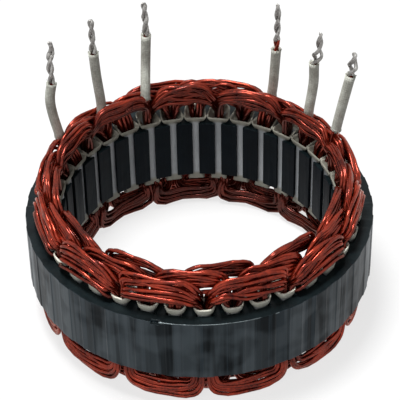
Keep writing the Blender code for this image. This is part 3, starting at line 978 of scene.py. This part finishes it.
def make_core(source, steel):
    """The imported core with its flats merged, its ribs softened and its edges eased."""
    mesh = bmesh.new()
    mesh.from_mesh(source.data)
    bmesh.ops.remove_doubles(mesh, verts=mesh.verts, dist=1e-6)
    bmesh.ops.dissolve_limit(mesh, angle_limit=math.radians(0.5), verts=mesh.verts,
                             edges=mesh.edges)
    for vert in mesh.verts:
        soften_rib(vert)
    core = mesh_piece("laminated_core", mesh)
    cut_notch(core)
    core.data.materials.clear()
    core.data.materials.append(steel)
    easing = core.modifiers.new("eased_edges", "BEVEL")
    easing.width = EDGE_EASE
    easing.segments = 2
    easing.limit_method = "ANGLE"
    easing.angle_limit = math.radians(30)
    core.data.shade_smooth()
    smooth = core.modifiers.new("even_shading", "WEIGHTED_NORMAL")
    smooth.keep_sharp = True
    dress(core, "core")


def make_strip_edge(bare):
    """The last turn's free edge, which stands a hair above the core and sinks into it."""
    steps = 24
    places = []
    for step in range(steps + 1):
        share = step / steps
        degrees = STRIP_END - STRIP_EDGE_AHEAD - STRIP_LENGTH * share
        rise = STRIP_RISE - STRIP_SINK * share ** 2
        places.append(rim_point(CORE_RADIUS - STRIP_INSET, degrees, CORE_TOP + rise))
    dress(wire_curve("strip_edge", [places], STRIP_EDGE_RADIUS, bare, 1), "core")


def make_strip_weld(bare):
    """The weld that holds the strip's end down."""
    mesh = bmesh.new()
    bmesh.ops.create_icosphere(mesh, subdivisions=2, radius=WELD_RADIUS)
    bmesh.ops.scale(mesh, verts=mesh.verts, vec=WELD_SHAPE)
    bmesh.ops.translate(mesh, verts=mesh.verts,
                        vec=(0, CORE_RADIUS - WELD_INSET, CORE_TOP - WELD_SINK))
    turn_mesh(mesh, STRIP_END - WELD_AHEAD)
    dress(mesh_piece("strip_weld", mesh, bare, smooth=True), "core")


def seen_directly(tree):
    """1 for what the camera sees, also by reflection or through glass."""
    path = add_node(tree, "LightPath")
    seen = add_math(tree, "MAXIMUM", path.outputs["Is Camera Ray"], path.outputs["Is Glossy Ray"])
    return add_math(tree, "MAXIMUM", seen, path.outputs["Is Transmission Ray"])


def make_floor():
    """Pale floor, nearly white to the camera, that keeps a soft shadow."""
    mesh = bmesh.new()
    bmesh.ops.create_grid(mesh, x_segments=1, y_segments=1, size=3)
    material, tree, shader = new_material("pale_floor")
    glow = add_math(tree, "MULTIPLY", seen_directly(tree), 1 - FLOOR_GREY)
    feed(tree, shader, Base_Color=(FLOOR_GREY, FLOOR_GREY, FLOOR_GREY, 1), Roughness=0.9,
         Specular_IOR_Level=0.0, Emission_Color=(1, 1, 1, 1), Emission_Strength=glow)
    mesh_piece("floor", mesh, material)


def make_world():
    """White surroundings that light the object only softly."""
    world = bpy.data.worlds.new("studio")
    bpy.context.scene.world = world
    world.use_nodes = True
    tree = world.node_tree
    strength = add_range(tree, seen_directly(tree), 0.0, 1.0, WORLD_LIGHT, 1.0)
    feed(tree, tree.nodes["Background"], Color=(1, 1, 1, 1), Strength=strength)


def make_lamps():
    """Soft square lamps that point at the object."""
    for name, (place, size, power) in LAMPS.items():
        lamp = bpy.data.lights.new(name, "AREA")
        lamp.size = size
        lamp.energy = power
        stand = link_piece(name, lamp)
        stand.location = place
        aim = (Vector(LAMP_AIM) - Vector(place)).to_track_quat("-Z", "Y")
        stand.rotation_euler = aim.to_euler()


def make_camera():
    """Camera at the photograph's angle, looking a little over the core."""
    elevation = math.radians(CAMERA_ELEVATION)
    azimuth = math.radians(CAMERA_AZIMUTH)
    back = Vector((math.sin(azimuth) * math.cos(elevation),
                   -math.cos(azimuth) * math.cos(elevation), math.sin(elevation)))
    data = bpy.data.cameras.new("camera")
    data.sensor_width = SENSOR_WIDTH
    data.lens = SENSOR_WIDTH * FOCAL_PIXELS / PICTURE_PIXELS
    data.clip_start = 0.05
    camera = link_piece("camera", data)
    camera.location = Vector((0, 0, CORE_MIDDLE)) + back * CAMERA_DISTANCE
    aim = (-back).to_track_quat("-Z", "Y").to_matrix()
    turn = turned(x=CAMERA_TILT) @ turned(y=CAMERA_PAN) @ turned(z=CAMERA_ROLL)
    camera.rotation_euler = (aim @ turn).to_euler()
    bpy.context.scene.camera = camera


def main():
    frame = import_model()
    bpy.context.scene.view_settings.view_transform = "Standard"
    make_camera()
    make_floor()
    make_world()
    make_lamps()
    patches = make_patches_group()
    bands = make_bands_group()
    ring = make_ring_group()
    enamel = make_enamel(patches, ring)
    make_core(frame["nodes"]["core"], make_steel(patches, bands, ring))
    bare = make_bare_edge(patches)
    make_strip_edge(bare)
    make_strip_weld(bare)
    make_windings(enamel)
    make_leads(enamel, make_tin(patches))
    make_sleeves(make_braid(patches))
    paper = make_paper(patches, ring)
    for number in range(1, SLOT_COUNT + 1):
        make_liner(number, paper)


main()
